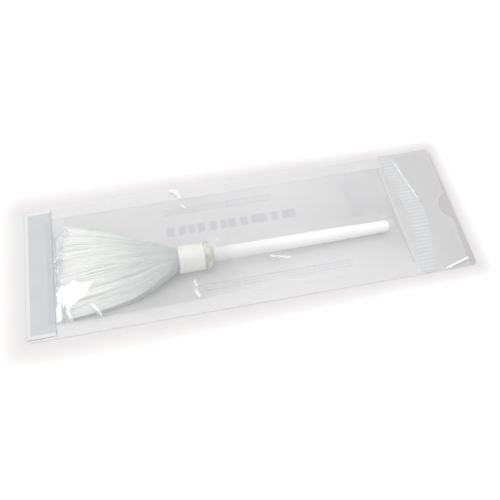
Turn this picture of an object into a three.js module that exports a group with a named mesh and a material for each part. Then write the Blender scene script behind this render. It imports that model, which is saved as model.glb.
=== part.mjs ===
// A glass-fibre powder brush sealed in a self-seal peel pouch.
//
// Millimetres, +Z up. The origin is the middle of the pouch's footprint on the table.
// +X runs along the pouch, from the closure flap to the peel end with the thumb notch.
// +Y runs across the pouch. The pouch lies paper side down, so the clear film is on top.

import * as THREE from 'three';

// ---------------------------------------------------------------- driving dimensions

// Pouch
const POUCH_LENGTH = 260;
const POUCH_WIDTH = 90;
const PAPER_THICKNESS = 0.25;
const SEAL_THICKNESS = 0.15;
const FILM_THICKNESS = 0.25;
const SIDE_SEAL_WIDTH = 8.5;
const CORNER_RADIUS = 3;
const FIT_GAP = 0.3;

// Closure flap, folded over the film at the pouch mouth
const FLAP_LENGTH = 16;
const FLAP_WIDTH = 87;
const ADHESIVE_THICKNESS = 0.15;
const ADHESIVE_INSET = 1.2;
const FOLD_CLEARANCE = 0.5;
const LID_SETBACK = 1;

// Peel end: straight inner seal line, chevron seal and the loose thumb tab
const END_LINE_X = 93.4;
const END_LINE_WIDTH = 2;
const CHEVRON_APEX_Y = -1;
const CHEVRON_OUTER = { side: 105, apex: 113.5 };
const CHEVRON_INNER = { side: 97, apex: 101.5 };
const TAB_FAR_X = 130;
const TAB_NEAR_X = 125.5;
const NOTCH_RADIUS = 10;
const NOTCH_CENTRE = { x: 131.7, y: -2 };

// Brush
const COLLAR_FRONT_X = -42;
const COLLAR_LENGTH = 15.2;
const COLLAR_RADIUS = 7.75;
const COLLAR_BORE_RADIUS = 7;
const HANDLE_START = 7;
const HANDLE_END = 127.7;
const HANDLE_RADIUS = 3.95;
const HANDLE_TIP_RADIUS = 3.5;
const BEAD_RADIUS = 8.4;
const BEAD_LENGTH = 5.4;
const BINDING_RADIUS = 6.7;
const ROOT_RADIUS = 5.9;
const ROOT_DEPTH = 6.5;
const BRUSH_AXIS_Y = -14;
const HANDLE_SLOPE_Y = 0.025;

// Tuft
const TUFT_LENGTH = 68;
const STRANDS_ACROSS = 7;
const STRAND_LAYERS = 3;
const TUFT_TIP_TOP = 5;
const TUFT_EDGE_HEIGHT = 0.75;
const TIP_BEVEL = 7;

// How far the sealed brush can slide in its pouch, towards the flap and towards the chevron
const SLIDE_BACK = 1;
const SLIDE_FORWARD = 2;
const FILM_CLEARANCE = 0.4;

// ---------------------------------------------------------------- derived levels

const HALF_LENGTH = POUCH_LENGTH / 2;
const HALF_WIDTH = POUCH_WIDTH / 2;
const SEAL_TOP = PAPER_THICKNESS + SEAL_THICKNESS;
const FILM_TOP = SEAL_TOP + FILM_THICKNESS;
const ADHESIVE_TOP = FILM_TOP + ADHESIVE_THICKNESS;
const FLAP_TOP = ADHESIVE_TOP + PAPER_THICKNESS;
const FLAP_EDGE_X = -HALF_LENGTH + FLAP_LENGTH;
const WEB_START_X = -HALF_LENGTH + FOLD_CLEARANCE;
const SEAL_START_X = WEB_START_X + 1.2;
const LID_START_X = FLAP_EDGE_X + LID_SETBACK;
const SEAL_INNER_Y = HALF_WIDTH - SIDE_SEAL_WIDTH;
const TAB_HINGE_X = CHEVRON_OUTER.apex + FIT_GAP / 2;

// The brush rests on its bead and on the handle's tip, so its axis slopes down to the tip.
const REST_LEVEL = PAPER_THICKNESS + FIT_GAP;
const BEAD_MIDDLE = COLLAR_LENGTH + 2.3;
const HANDLE_SLOPE_Z = -(BEAD_RADIUS - HANDLE_TIP_RADIUS) / (HANDLE_END - BEAD_MIDDLE);
const AXIS_Z = REST_LEVEL + BEAD_RADIUS - BEAD_MIDDLE * HANDLE_SLOPE_Z + 0.1;

// ---------------------------------------------------------------- small helpers

const lerp = THREE.MathUtils.lerp;
const smooth = (t) => THREE.MathUtils.smoothstep(t, 0, 1);

// Evenly spaced values from one number up to, and not including, another.
function steps(from, to, count) {
  return Array.from({ length: count }, (_, n) => lerp(from, to, n / count));
}

function material(color, roughness, extra = {}) {
  return new THREE.MeshStandardMaterial({ color, roughness, metalness: 0, ...extra });
}

function addMesh(group, name, geometry, meshMaterial) {
  const mesh = new THREE.Mesh(geometry, meshMaterial);
  mesh.name = name;
  group.add(mesh);
  return mesh;
}

// A flat sheet with the given outline between two heights.
function slab(shape, low, high) {
  const geometry = new THREE.ExtrudeGeometry(shape, {
    depth: high - low,
    bevelEnabled: false,
    curveSegments: 16,
  });
  geometry.translate(0, 0, low);
  return geometry;
}

function polygon(points) {
  return new THREE.Shape(points.map(([x, y]) => new THREE.Vector2(x, y)));
}

function rectangle(x0, y0, x1, y1) {
  return polygon([[x0, y0], [x1, y0], [x1, y1], [x0, y1]]);
}

// A solid of revolution about +X. The profile is a list of [distance along X, radius].
function turned(profile, segments) {
  const points = profile.map(([x, radius]) => new THREE.Vector2(radius, x));
  const geometry = new THREE.LatheGeometry(points, segments);
  geometry.rotateZ(-Math.PI / 2);
  return geometry;
}

function indexed(vertices, triangles) {
  const geometry = new THREE.BufferGeometry();
  geometry.setAttribute('position', new THREE.Float32BufferAttribute(vertices.flat(), 3));
  geometry.setIndex(triangles.flat());
  geometry.computeVertexNormals();
  return geometry;
}

// A closed skin through equal rings of points, with a flat fan over the first and the last ring.
function loft(rings) {
  const count = rings[0].length;
  const triangles = [];
  for (let r = 0; r + 1 < rings.length; r += 1) {
    for (let k = 0; k < count; k += 1) {
      const a = r * count + k;
      const b = r * count + ((k + 1) % count);
      triangles.push([a, b, b + count], [a, b + count, a + count]);
    }
  }
  const last = (rings.length - 1) * count;
  for (let k = 1; k + 1 < count; k += 1) {
    triangles.push([0, k + 1, k], [last, last + k, last + k + 1]);
  }
  return indexed(rings.flat(), triangles);
}

// ---------------------------------------------------------------- tuft shape

// The tuft is mapped from a square: u runs from the near edge (-1) to the far edge (+1),
// v from the lowest fibres (-1) to the top ones (+1), and s is the distance from the collar's
// front towards the tips. At the collar the square becomes the bore's disc, and it spreads
// into a flat fan that lies on the paper.

const SPREAD_NEAR = -14.5;
const SPREAD_FAR = 41;
const BOW_NEAR = 0.05;
const BOW_FAR = 0.0083;
const FAN_LENGTH = 25;
const SETTLE_LENGTH = 40;
const TIP_THINNING_START = 60;
const TIP_THICKNESS = 1.7;

function tuftPoint(s, u, v) {
  const along = Math.max(s, 0);
  const fan = smooth(along / FAN_LENGTH);
  const spread = lerp(SPREAD_NEAR, SPREAD_FAR, (u + 1) / 2);
  const bow = lerp(BOW_NEAR, BOW_FAR, (u + 1) / 2);
  const share = (1 - Math.exp(-along * bow)) / (1 - Math.exp(-TUFT_LENGTH * bow));
  const roundU = u * Math.sqrt(1 - (v * v) / 2);
  const roundV = v * Math.sqrt(1 - (u * u) / 2);
  const y = ROOT_RADIUS * lerp(roundU, u, fan) + spread * share;

  const axisZ = AXIS_Z - s * HANDLE_SLOPE_Z;
  const bottom = lerp(axisZ - ROOT_RADIUS, REST_LEVEL, smooth(along / SETTLE_LENGTH));
  const fanTop = lerp(AXIS_Z + ROOT_RADIUS, TUFT_TIP_TOP, along / TIP_THINNING_START);
  const thinning = (along - TIP_THINNING_START) / (TUFT_LENGTH - TIP_THINNING_START);
  const top = along < TIP_THINNING_START
    ? fanTop
    : lerp(TUFT_TIP_TOP, REST_LEVEL + TIP_THICKNESS, thinning);
  const crown = Math.sqrt(1 - TUFT_EDGE_HEIGHT * u * u);
  const flatZ = bottom + ((top - bottom) / 2) * crown * (1 + v);
  const z = lerp(axisZ + ROOT_RADIUS * roundV, flatZ, fan);
  return [COLLAR_FRONT_X - s, BRUSH_AXIS_Y - s * HANDLE_SLOPE_Y + y, z];
}

// The fibres are longest near the middle.
function tipDistance(u) {
  return TUFT_LENGTH - 5 * (u + 0.1) ** 2;
}

// One flat roving strand: the cell (column, layer) of the square, held apart from its neighbours.
function strand(column, layer) {
  const uLow = -1 + (2 * column) / STRANDS_ACROSS;
  const uHigh = uLow + 2 / STRANDS_ACROSS;
  const vLow = -1 + (2 * layer) / STRAND_LAYERS;
  const vHigh = vLow + 2 / STRAND_LAYERS;
  const uMiddle = (uLow + uHigh) / 2;
  const unevenness = 0.9 * Math.sin(2.4 * column + 1.7 * layer) - 0.9;
  const length = tipDistance(uMiddle) + unevenness;
  const rings = [];
  for (const s of [-ROOT_DEPTH, ...steps(0, length, 8), length]) {
    const along = Math.max(s, 0);
    const halfWidth = ROOT_RADIUS + 30 * (1 - Math.exp(-along / 36.5));
    const halfHeight = lerp(ROOT_RADIUS, 1.2, along / TUFT_LENGTH);
    const taper = smooth((s - length + TIP_BEVEL) / TIP_BEVEL);
    const uInset = FIT_GAP / 2 / halfWidth + taper * 0.2 * (uHigh - uLow);
    const vInset = FIT_GAP / 2 / halfHeight + taper * 0.08 * (vHigh - vLow);
    const u = [uLow + uInset, uMiddle, uHigh - uInset];
    const v = [vLow + vInset, (vLow + vHigh) / 2, vHigh - vInset];
    const cell = [[0, 0], [0, 1], [0, 2], [1, 2], [2, 2], [2, 1], [2, 0], [1, 0]];
    rings.push(cell.map(([i, j]) => tuftPoint(s, u[i], v[j])));
  }
  return loft(rings);
}

// ---------------------------------------------------------------- film shape

// The film is sealed flat round its edges and drawn tight over the brush, so between them it
// takes the shape of a stretched skin over an obstacle.

// The grid lines are close together where the film bends most: over the fibre tips, over the
// collar and its bead, past the handle's end, and along the near side seal.
const TIPS_X = LID_START_X + 1.4;
const FAN_X = -104;
const THROAT_X = COLLAR_FRONT_X - 4;
const BEHIND_BEAD_X = -16;
const HANDLE_END_X = 80;
const FAN_EDGE_Y = -SEAL_INNER_Y + 1.2;
const FAN_SIDE_Y = -32;
const FILM_X = [
  LID_START_X,
  ...steps(TIPS_X, FAN_X, 4),
  ...steps(FAN_X, THROAT_X, 11),
  ...steps(THROAT_X, BEHIND_BEAD_X, 9),
  ...steps(BEHIND_BEAD_X, HANDLE_END_X, 15),
  ...steps(HANDLE_END_X, END_LINE_X, 6),
  END_LINE_X,
];
const FILM_Y = [-SEAL_INNER_Y, FAN_EDGE_Y, ...steps(FAN_SIDE_Y, SEAL_INNER_Y, 16), SEAL_INNER_Y];

// Points on top of the brush, for its whole slide.
function brushTopPoints() {
  const points = [];
  for (let s = 0; s <= TUFT_LENGTH; s += 1.5) {
    for (let u = -1; u <= 1.001; u += 0.05) {
      if (s <= tipDistance(u)) {
        points.push(tuftPoint(s, u, 1));
      }
    }
  }
  for (let along = 0; along <= HANDLE_END; along += 1) {
    const onBead = along > COLLAR_LENGTH && along < COLLAR_LENGTH + BEAD_LENGTH;
    const onHandle = along >= COLLAR_LENGTH + BEAD_LENGTH;
    const radius = onBead ? BEAD_RADIUS : onHandle ? HANDLE_RADIUS : COLLAR_RADIUS;
    for (let turn = 0; turn <= 12; turn += 1) {
      const angle = (Math.PI * turn) / 12;
      points.push([
        COLLAR_FRONT_X + along,
        BRUSH_AXIS_Y + along * HANDLE_SLOPE_Y + radius * Math.cos(angle),
        AXIS_Z + along * HANDLE_SLOPE_Z + radius * Math.sin(angle),
      ]);
    }
  }
  return points;
}

// The lowest height the film may have at each grid point: every brush point lifts the corners of
// the grid cells that it can lie under.
function obstacleHeights() {
  const heights = FILM_X.map(() => FILM_Y.map(() => SEAL_TOP));
  const cellOf = (lines, value) => lines.findIndex((line) => line > value) - 1;
  for (const [x, y, z] of brushTopPoints()) {
    for (const slide of [-SLIDE_BACK, 0, SLIDE_FORWARD]) {
      const i = cellOf(FILM_X, x + slide);
      const j = cellOf(FILM_Y, y);
      for (const [a, b] of [[i, j], [i + 1, j], [i, j + 1], [i + 1, j + 1]]) {
        heights[a][b] = Math.max(heights[a][b], z + FILM_CLEARANCE);
      }
    }
  }
  return heights;
}

// Relaxes the skin: each free point settles at the mean of its neighbours, or on the obstacle.
function filmHeights() {
  const floor = obstacleHeights();
  const heights = floor.map((column) => column.slice());
  const lastX = FILM_X.length - 1;
  const lastY = FILM_Y.length - 1;
  heights.forEach((column, i) => column.forEach((_, j) => {
    if (i === 0 || i === lastX || j === 0 || j === lastY) {
      column[j] = SEAL_TOP;
    }
  }));
  const weight = (lines, k) => [1 / (lines[k] - lines[k - 1]), 1 / (lines[k + 1] - lines[k])];
  for (let round = 0; round < 400; round += 1) {
    for (let i = 1; i < lastX; i += 1) {
      for (let j = 1; j < lastY; j += 1) {
        const [west, east] = weight(FILM_X, i);
        const [south, north] = weight(FILM_Y, j);
        const spanX = FILM_X[i + 1] - FILM_X[i - 1];
        const spanY = FILM_Y[j + 1] - FILM_Y[j - 1];
        const pullX = (west * heights[i - 1][j] + east * heights[i + 1][j]) / spanX;
        const pullY = (south * heights[i][j - 1] + north * heights[i][j + 1]) / spanY;
        const rest = (pullX + pullY) / ((west + east) / spanX + (south + north) / spanY);
        heights[i][j] = Math.max(floor[i][j], rest);
      }
    }
  }
  return heights;
}

// The film over the brush, as a thin shell that runs out flat over both side seals.
function filmLid() {
  const inner = filmHeights();
  const ys = [-HALF_WIDTH, ...FILM_Y, HALF_WIDTH];
  const rows = inner.map((column) => [SEAL_TOP, ...column, SEAL_TOP]);
  const across = ys.length;
  const layer = FILM_X.length * across;
  const vertices = [];
  for (const lift of [0, FILM_THICKNESS]) {
    FILM_X.forEach((x, i) => ys.forEach((y, j) => vertices.push([x, y, rows[i][j] + lift])));
  }
  const triangles = [];
  const quad = (a, b, c, d) => triangles.push([a, b, c], [a, c, d]);
  for (let i = 0; i + 1 < FILM_X.length; i += 1) {
    for (let j = 0; j + 1 < across; j += 1) {
      const k = i * across + j;
      quad(layer + k, layer + k + across, layer + k + across + 1, layer + k + 1);
      quad(k, k + 1, k + across + 1, k + across);
    }
    const near = i * across;
    const far = near + across - 1;
    quad(near, near + across, near + across + layer, near + layer);
    quad(far + across, far, far + layer, far + across + layer);
  }
  for (let j = 0; j + 1 < across; j += 1) {
    const end = (FILM_X.length - 1) * across + j;
    quad(j + 1, j, j + layer, j + 1 + layer);
    quad(end, end + 1, end + 1 + layer, end + layer);
  }
  return indexed(vertices, triangles);
}

// ---------------------------------------------------------------- pouch outlines

function webOutline() {
  const shape = new THREE.Shape();
  const r = CORNER_RADIUS;
  shape.moveTo(WEB_START_X, -HALF_WIDTH);
  shape.lineTo(HALF_LENGTH - r, -HALF_WIDTH);
  shape.absarc(HALF_LENGTH - r, -HALF_WIDTH + r, r, -Math.PI / 2, 0, false);
  shape.lineTo(HALF_LENGTH, HALF_WIDTH - r);
  shape.absarc(HALF_LENGTH - r, HALF_WIDTH - r, r, 0, Math.PI / 2, false);
  shape.lineTo(WEB_START_X, HALF_WIDTH);
  return shape;
}

function chevronOutline() {
  return polygon([
    [CHEVRON_INNER.side, -HALF_WIDTH],
    [CHEVRON_OUTER.side, -HALF_WIDTH],
    [CHEVRON_OUTER.apex, CHEVRON_APEX_Y],
    [CHEVRON_OUTER.side, HALF_WIDTH],
    [CHEVRON_INNER.side, HALF_WIDTH],
    [CHEVRON_INNER.apex, CHEVRON_APEX_Y],
  ]);
}

// The loose film beyond the chevron: its end slants back towards the near side.
function tabOutline() {
  const start = TAB_HINGE_X + FIT_GAP / 2;
  const edgeSlope = (TAB_FAR_X - TAB_NEAR_X) / POUCH_WIDTH;
  const edgeX = (y) => TAB_NEAR_X + (y + HALF_WIDTH) * edgeSlope;
  const reachAt = (x) => Math.acos((NOTCH_CENTRE.x - x) / NOTCH_RADIUS);
  const nearY = NOTCH_CENTRE.y - NOTCH_RADIUS * Math.sin(reachAt(edgeX(NOTCH_CENTRE.y - 8)));
  const farY = NOTCH_CENTRE.y + NOTCH_RADIUS * Math.sin(reachAt(edgeX(NOTCH_CENTRE.y + 8)));
  const nearAngle = -Math.PI + reachAt(edgeX(nearY));
  const farAngle = Math.PI - reachAt(edgeX(farY));
  const shape = new THREE.Shape();
  shape.moveTo(start, -HALF_WIDTH);
  shape.lineTo(edgeX(-HALF_WIDTH), -HALF_WIDTH);
  shape.lineTo(edgeX(nearY), nearY);
  shape.absarc(NOTCH_CENTRE.x, NOTCH_CENTRE.y, NOTCH_RADIUS, nearAngle, farAngle, true);
  shape.lineTo(TAB_FAR_X, HALF_WIDTH - CORNER_RADIUS);
  shape.lineTo(TAB_FAR_X - CORNER_RADIUS, HALF_WIDTH);
  shape.lineTo(start, HALF_WIDTH);
  return shape;
}

// The flap in section: a short leg in the fold and the folded-over strip.
function flapGeometry() {
  const fold = -HALF_LENGTH;
  const section = polygon([
    [fold, PAPER_THICKNESS],
    [fold + PAPER_THICKNESS, PAPER_THICKNESS],
    [fold + PAPER_THICKNESS, ADHESIVE_TOP],
    [FLAP_EDGE_X, ADHESIVE_TOP],
    [FLAP_EDGE_X, FLAP_TOP],
    [fold, FLAP_TOP],
  ]);
  const geometry = slab(section, -FLAP_WIDTH / 2, FLAP_WIDTH / 2);
  geometry.rotateX(Math.PI / 2);
  return geometry;
}

// ---------------------------------------------------------------- materials

const PAPER = material(0xe6e5e4, 0.85);
const FLAP_PAPER = material(0xc6cfd5, 0.8);
const SEAL = material(0xd3d7da, 0.55);
const ADHESIVE = material(0xb9c6cf, 0.4);
const CLEAR_FILM = material(0xf2f5f6, 0.12, { transparent: true, opacity: 0.35 });
const WHITE_PLASTIC = material(0xefece6, 0.4);
const SLEEVE = material(0xe9e6dd, 0.5);
const GLUE = material(0xe0dfba, 0.15, { transparent: true, opacity: 0.8 });
const THREAD = material(0xd8d2c0, 0.8);
const GLASS_FIBRE = material(0xdfe4df, 0.35);

// ---------------------------------------------------------------- assembly

function pouch() {
  const group = new THREE.Group();
  addMesh(group, 'paper_web', slab(webOutline(), 0, PAPER_THICKNESS), PAPER);

  const sealEnd = CHEVRON_INNER.side - FIT_GAP;
  for (const [name, low] of [['side_seal_near', -HALF_WIDTH], ['side_seal_far', SEAL_INNER_Y]]) {
    const outline = rectangle(SEAL_START_X, low, sealEnd, low + SIDE_SEAL_WIDTH);
    addMesh(group, name, slab(outline, PAPER_THICKNESS, SEAL_TOP), SEAL);
  }
  const barReach = SEAL_INNER_Y - FIT_GAP;
  const barStart = END_LINE_X + FIT_GAP;
  const bar = rectangle(barStart, -barReach, barStart + END_LINE_WIDTH, barReach);
  addMesh(group, 'end_seal_line', slab(bar, PAPER_THICKNESS, SEAL_TOP), SEAL);
  addMesh(group, 'chevron_seal', slab(chevronOutline(), PAPER_THICKNESS, SEAL_TOP), SEAL);

  const lip = rectangle(SEAL_START_X, -HALF_WIDTH, LID_START_X - FIT_GAP, HALF_WIDTH);
  addMesh(group, 'film_mouth', slab(lip, SEAL_TOP, FILM_TOP), CLEAR_FILM);
  addMesh(group, 'film_lid', filmLid(), CLEAR_FILM);
  const endStart = END_LINE_X + FIT_GAP;
  const end = rectangle(endStart, -HALF_WIDTH, TAB_HINGE_X - FIT_GAP / 2, HALF_WIDTH);
  addMesh(group, 'film_end', slab(end, SEAL_TOP, FILM_TOP), CLEAR_FILM);
  addMesh(group, 'film_tab', slab(tabOutline(), SEAL_TOP, FILM_TOP), CLEAR_FILM);
  return group;
}

function closure() {
  const group = new THREE.Group();
  addMesh(group, 'closure_flap', flapGeometry(), FLAP_PAPER);
  const reach = FLAP_WIDTH / 2 - ADHESIVE_INSET;
  const strip = rectangle(SEAL_START_X, -reach, FLAP_EDGE_X - ADHESIVE_INSET, reach);
  addMesh(group, 'adhesive_strip', slab(strip, FILM_TOP, ADHESIVE_TOP), ADHESIVE);
  return group;
}

// Handle, collar, glue and binding share one axis, which starts at the collar's front.
function stem() {
  const group = new THREE.Group();
  group.position.set(COLLAR_FRONT_X, BRUSH_AXIS_Y, AXIS_Z);
  const axis = new THREE.Vector3(1, HANDLE_SLOPE_Y, HANDLE_SLOPE_Z).normalize();
  group.quaternion.setFromUnitVectors(new THREE.Vector3(1, 0, 0), axis);

  const end = HANDLE_END;
  const tip = HANDLE_TIP_RADIUS;
  const rounded = [0, 30, 60].map((degrees) => {
    const angle = THREE.MathUtils.degToRad(degrees);
    return [end - 2.2 + 2.2 * Math.sin(angle), tip - 2.2 + 2.2 * Math.cos(angle)];
  });
  addMesh(group, 'handle', turned([
    [HANDLE_START, 0],
    [HANDLE_START, HANDLE_RADIUS - 0.5],
    [HANDLE_START + 0.5, HANDLE_RADIUS],
    [end - 40, HANDLE_RADIUS],
    ...rounded,
    [end, tip - 2.2],
    [end, 0],
  ], 24), WHITE_PLASTIC);

  const rear = COLLAR_LENGTH;
  const chamfer = 0.3;
  addMesh(group, 'collar', turned([
    [0, COLLAR_BORE_RADIUS],
    [0, COLLAR_RADIUS - chamfer],
    [chamfer, COLLAR_RADIUS],
    [rear - chamfer, COLLAR_RADIUS],
    [rear, COLLAR_RADIUS - chamfer],
    [rear, COLLAR_BORE_RADIUS],
    [0, COLLAR_BORE_RADIUS],
  ], 32), SLEEVE);

  const hole = HANDLE_RADIUS + FIT_GAP;
  const filled = COLLAR_BORE_RADIUS - FIT_GAP;
  const bulgeStart = rear + FIT_GAP;
  addMesh(group, 'glue_bead', turned([
    [HANDLE_START + 0.6, hole],
    [HANDLE_START + 0.6, filled],
    [bulgeStart, filled],
    [bulgeStart, BEAD_RADIUS - 0.7],
    [bulgeStart + 0.9, BEAD_RADIUS - 0.1],
    [BEAD_MIDDLE, BEAD_RADIUS],
    [BEAD_MIDDLE + 1.3, BEAD_RADIUS - 0.6],
    [rear + BEAD_LENGTH - 0.6, BEAD_RADIUS - 2.3],
    [rear + BEAD_LENGTH, hole + 0.4],
    [rear + BEAD_LENGTH, hole],
    [HANDLE_START + 0.6, hole],
  ], 28), GLUE);

  const wrapStart = 2;
  const wrapEnd = 5;
  addMesh(group, 'root_binding', turned([
    [wrapStart, ROOT_RADIUS + FIT_GAP],
    [wrapStart, BINDING_RADIUS],
    [wrapEnd, BINDING_RADIUS],
    [wrapEnd, ROOT_RADIUS + FIT_GAP],
    [wrapStart, ROOT_RADIUS + FIT_GAP],
  ], 28), THREAD);
  return group;
}

function tuft() {
  const group = new THREE.Group();
  const layerNames = ['low', 'middle', 'top'];
  for (let layer = 0; layer < STRAND_LAYERS; layer += 1) {
    for (let column = 0; column < STRANDS_ACROSS; column += 1) {
      const name = `roving_${layerNames[layer]}_${column + 1}`;
      addMesh(group, name, strand(column, layer), GLASS_FIBRE);
    }
  }
  return group;
}

const brushInPouch = new THREE.Group();
brushInPouch.add(pouch(), closure(), stem(), tuft());

export default brushInPouch;
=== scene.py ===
"""A powder brush sealed in a peel pouch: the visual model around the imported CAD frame.

Lengths are in millimetres in the row frame, and object_from() turns them into metres.
"""

import math

import bpy
import numpy as np
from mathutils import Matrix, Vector


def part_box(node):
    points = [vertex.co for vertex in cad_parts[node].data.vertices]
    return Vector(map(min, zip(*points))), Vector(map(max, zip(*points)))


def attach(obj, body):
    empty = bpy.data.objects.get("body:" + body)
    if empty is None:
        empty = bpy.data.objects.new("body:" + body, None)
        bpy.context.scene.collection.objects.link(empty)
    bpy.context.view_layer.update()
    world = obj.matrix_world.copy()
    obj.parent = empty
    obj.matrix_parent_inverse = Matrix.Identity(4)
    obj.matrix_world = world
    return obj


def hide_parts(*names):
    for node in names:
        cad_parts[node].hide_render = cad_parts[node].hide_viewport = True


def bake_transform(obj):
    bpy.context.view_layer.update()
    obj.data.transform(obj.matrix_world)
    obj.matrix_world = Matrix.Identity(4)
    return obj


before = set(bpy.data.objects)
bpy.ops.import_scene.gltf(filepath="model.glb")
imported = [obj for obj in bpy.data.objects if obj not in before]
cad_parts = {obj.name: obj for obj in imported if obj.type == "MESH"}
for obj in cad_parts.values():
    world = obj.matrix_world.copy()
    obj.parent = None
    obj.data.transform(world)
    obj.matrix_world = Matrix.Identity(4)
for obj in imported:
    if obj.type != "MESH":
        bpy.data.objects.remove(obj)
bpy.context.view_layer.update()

MM = 1000.0


def corners(node):
    """Lowest and highest corner of a CAD node, in millimetres."""
    return [np.array(corner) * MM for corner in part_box(node)]


# ---------------------------------------------------------------- sizes from the frame

HALF_LENGTH = corners("paper_web")[1][0]
HALF_WIDTH = corners("paper_web")[1][1]
PAPER_TOP = corners("paper_web")[1][2]
SEAL_TOP = corners("chevron_seal")[1][2]
FILM_TOP = corners("film_tab")[1][2]
ADHESIVE_TOP = corners("adhesive_strip")[1][2]
FLAP_TOP = corners("closure_flap")[1][2]
FLAP_EDGE_X = corners("closure_flap")[1][0]
FLAP_HALF_WIDTH = corners("closure_flap")[1][1]
SEAL_START_X = corners("film_mouth")[0][0]
SEAL_INNER_Y = corners("side_seal_far")[0][1]
LID_HINGE_X = (corners("film_mouth")[1][0] + corners("film_lid")[0][0]) / 2
END_HINGE_X = (corners("film_lid")[1][0] + corners("film_end")[0][0]) / 2
TAB_HINGE_X = (corners("film_end")[1][0] + corners("film_tab")[0][0]) / 2
FILM_THICKNESS = FILM_TOP - SEAL_TOP

# The brush's own sizes repeat those of the CAD part.
COLLAR_FRONT_X = -42.0
COLLAR_LENGTH = 15.2
COLLAR_RADIUS = 7.75
COLLAR_BORE = 7.0
HANDLE_START = 7.0
HANDLE_END = 127.7
HANDLE_RADIUS = 3.95
HANDLE_TIP_RADIUS = 3.5
BEAD_RADIUS = 8.4
BEAD_LENGTH = 5.4
ROOT_RADIUS = 5.9
BRUSH_AXIS_Y = -14.0
SLOPE_Y = 0.025
REST_LEVEL = PAPER_TOP + 0.3
BEAD_MIDDLE = COLLAR_LENGTH + 2.3
SLOPE_Z = -(BEAD_RADIUS - HANDLE_TIP_RADIUS) / (HANDLE_END - BEAD_MIDDLE)
AXIS_Z = REST_LEVEL + BEAD_RADIUS - BEAD_MIDDLE * SLOPE_Z + 0.1
TUFT_LENGTH = 68.0
STRANDS_ACROSS = 7
STRAND_LAYERS = 3
TIP_TOP = 5.0
EDGE_HEIGHT = 0.75

# ---------------------------------------------------------------- camera and light directions

CAMERA_AT = np.array([-42.1, -223.3, 332.9])
CAMERA_AIM = Vector((0.1086, 0.5383, -0.8357))
CAMERA_LENS = 48.2
# The side lamp's direction, then its distance and width in metres and its power in watts.
SIDE_LIGHT = np.array([-0.70, 0.515, 0.50])
SIDE_LIGHT_DISTANCE = 1.0
SIDE_LIGHT_SIZE = 0.20
SIDE_LIGHT_POWER = 1.1
# A wide soft panel overhead: its direction, then where it fades in and how bright it is.
SKY_PANEL = (0.0, 0.25, 0.97)
SKY_RANGE = (0.5, 1.0, 0.92, 1.50)
FLOOR_HALF_WIDTH = 15000.0

random = np.random.default_rng(7)


def smooth(t):
    t = np.clip(t, 0, 1)
    return t * t * (3 - 2 * t)


def lerp(a, b, t):
    return a + (b - a) * t


# ---------------------------------------------------------------- materials

# Painted light: the paper and its seals are painted palest from here on towards the flap, and
# darkest from there on towards the tab, for light that falls off away from the flap's end.
PALE_FROM_X = 30.0
DARK_FROM_X = 122.0
# Painted light: the cut sides of a sheet are painted paler than its face, this far in, to lift
# the shade that falls on them.
CUT_DEPTH = 0.08
CUT_SIDE_PAINTED_LIGHT = (0.88, 0.87, 0.87)
# Places of the print on the paper: from x to x, from y to y.
PRINT_BLOCKS = (-46, 34, 9.6, 16.2)
PRINT_ROWS = [(-46, 22, 24.7, 30.4), (-34, 58, -33.2, -26.6), (67, 76, 1.9, 32.3)]
RIB_PITCH = 2.6
FILM_MIRROR = 0.055
FILM_HAZE = 0.07
FILM_TINT = (0.995, 0.997, 1.0)


def opaque(colour):
    """A colour with its alpha. A socket is left as it is."""
    return colour if isinstance(colour, bpy.types.NodeSocket) else (*colour, 1.0)


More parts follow.
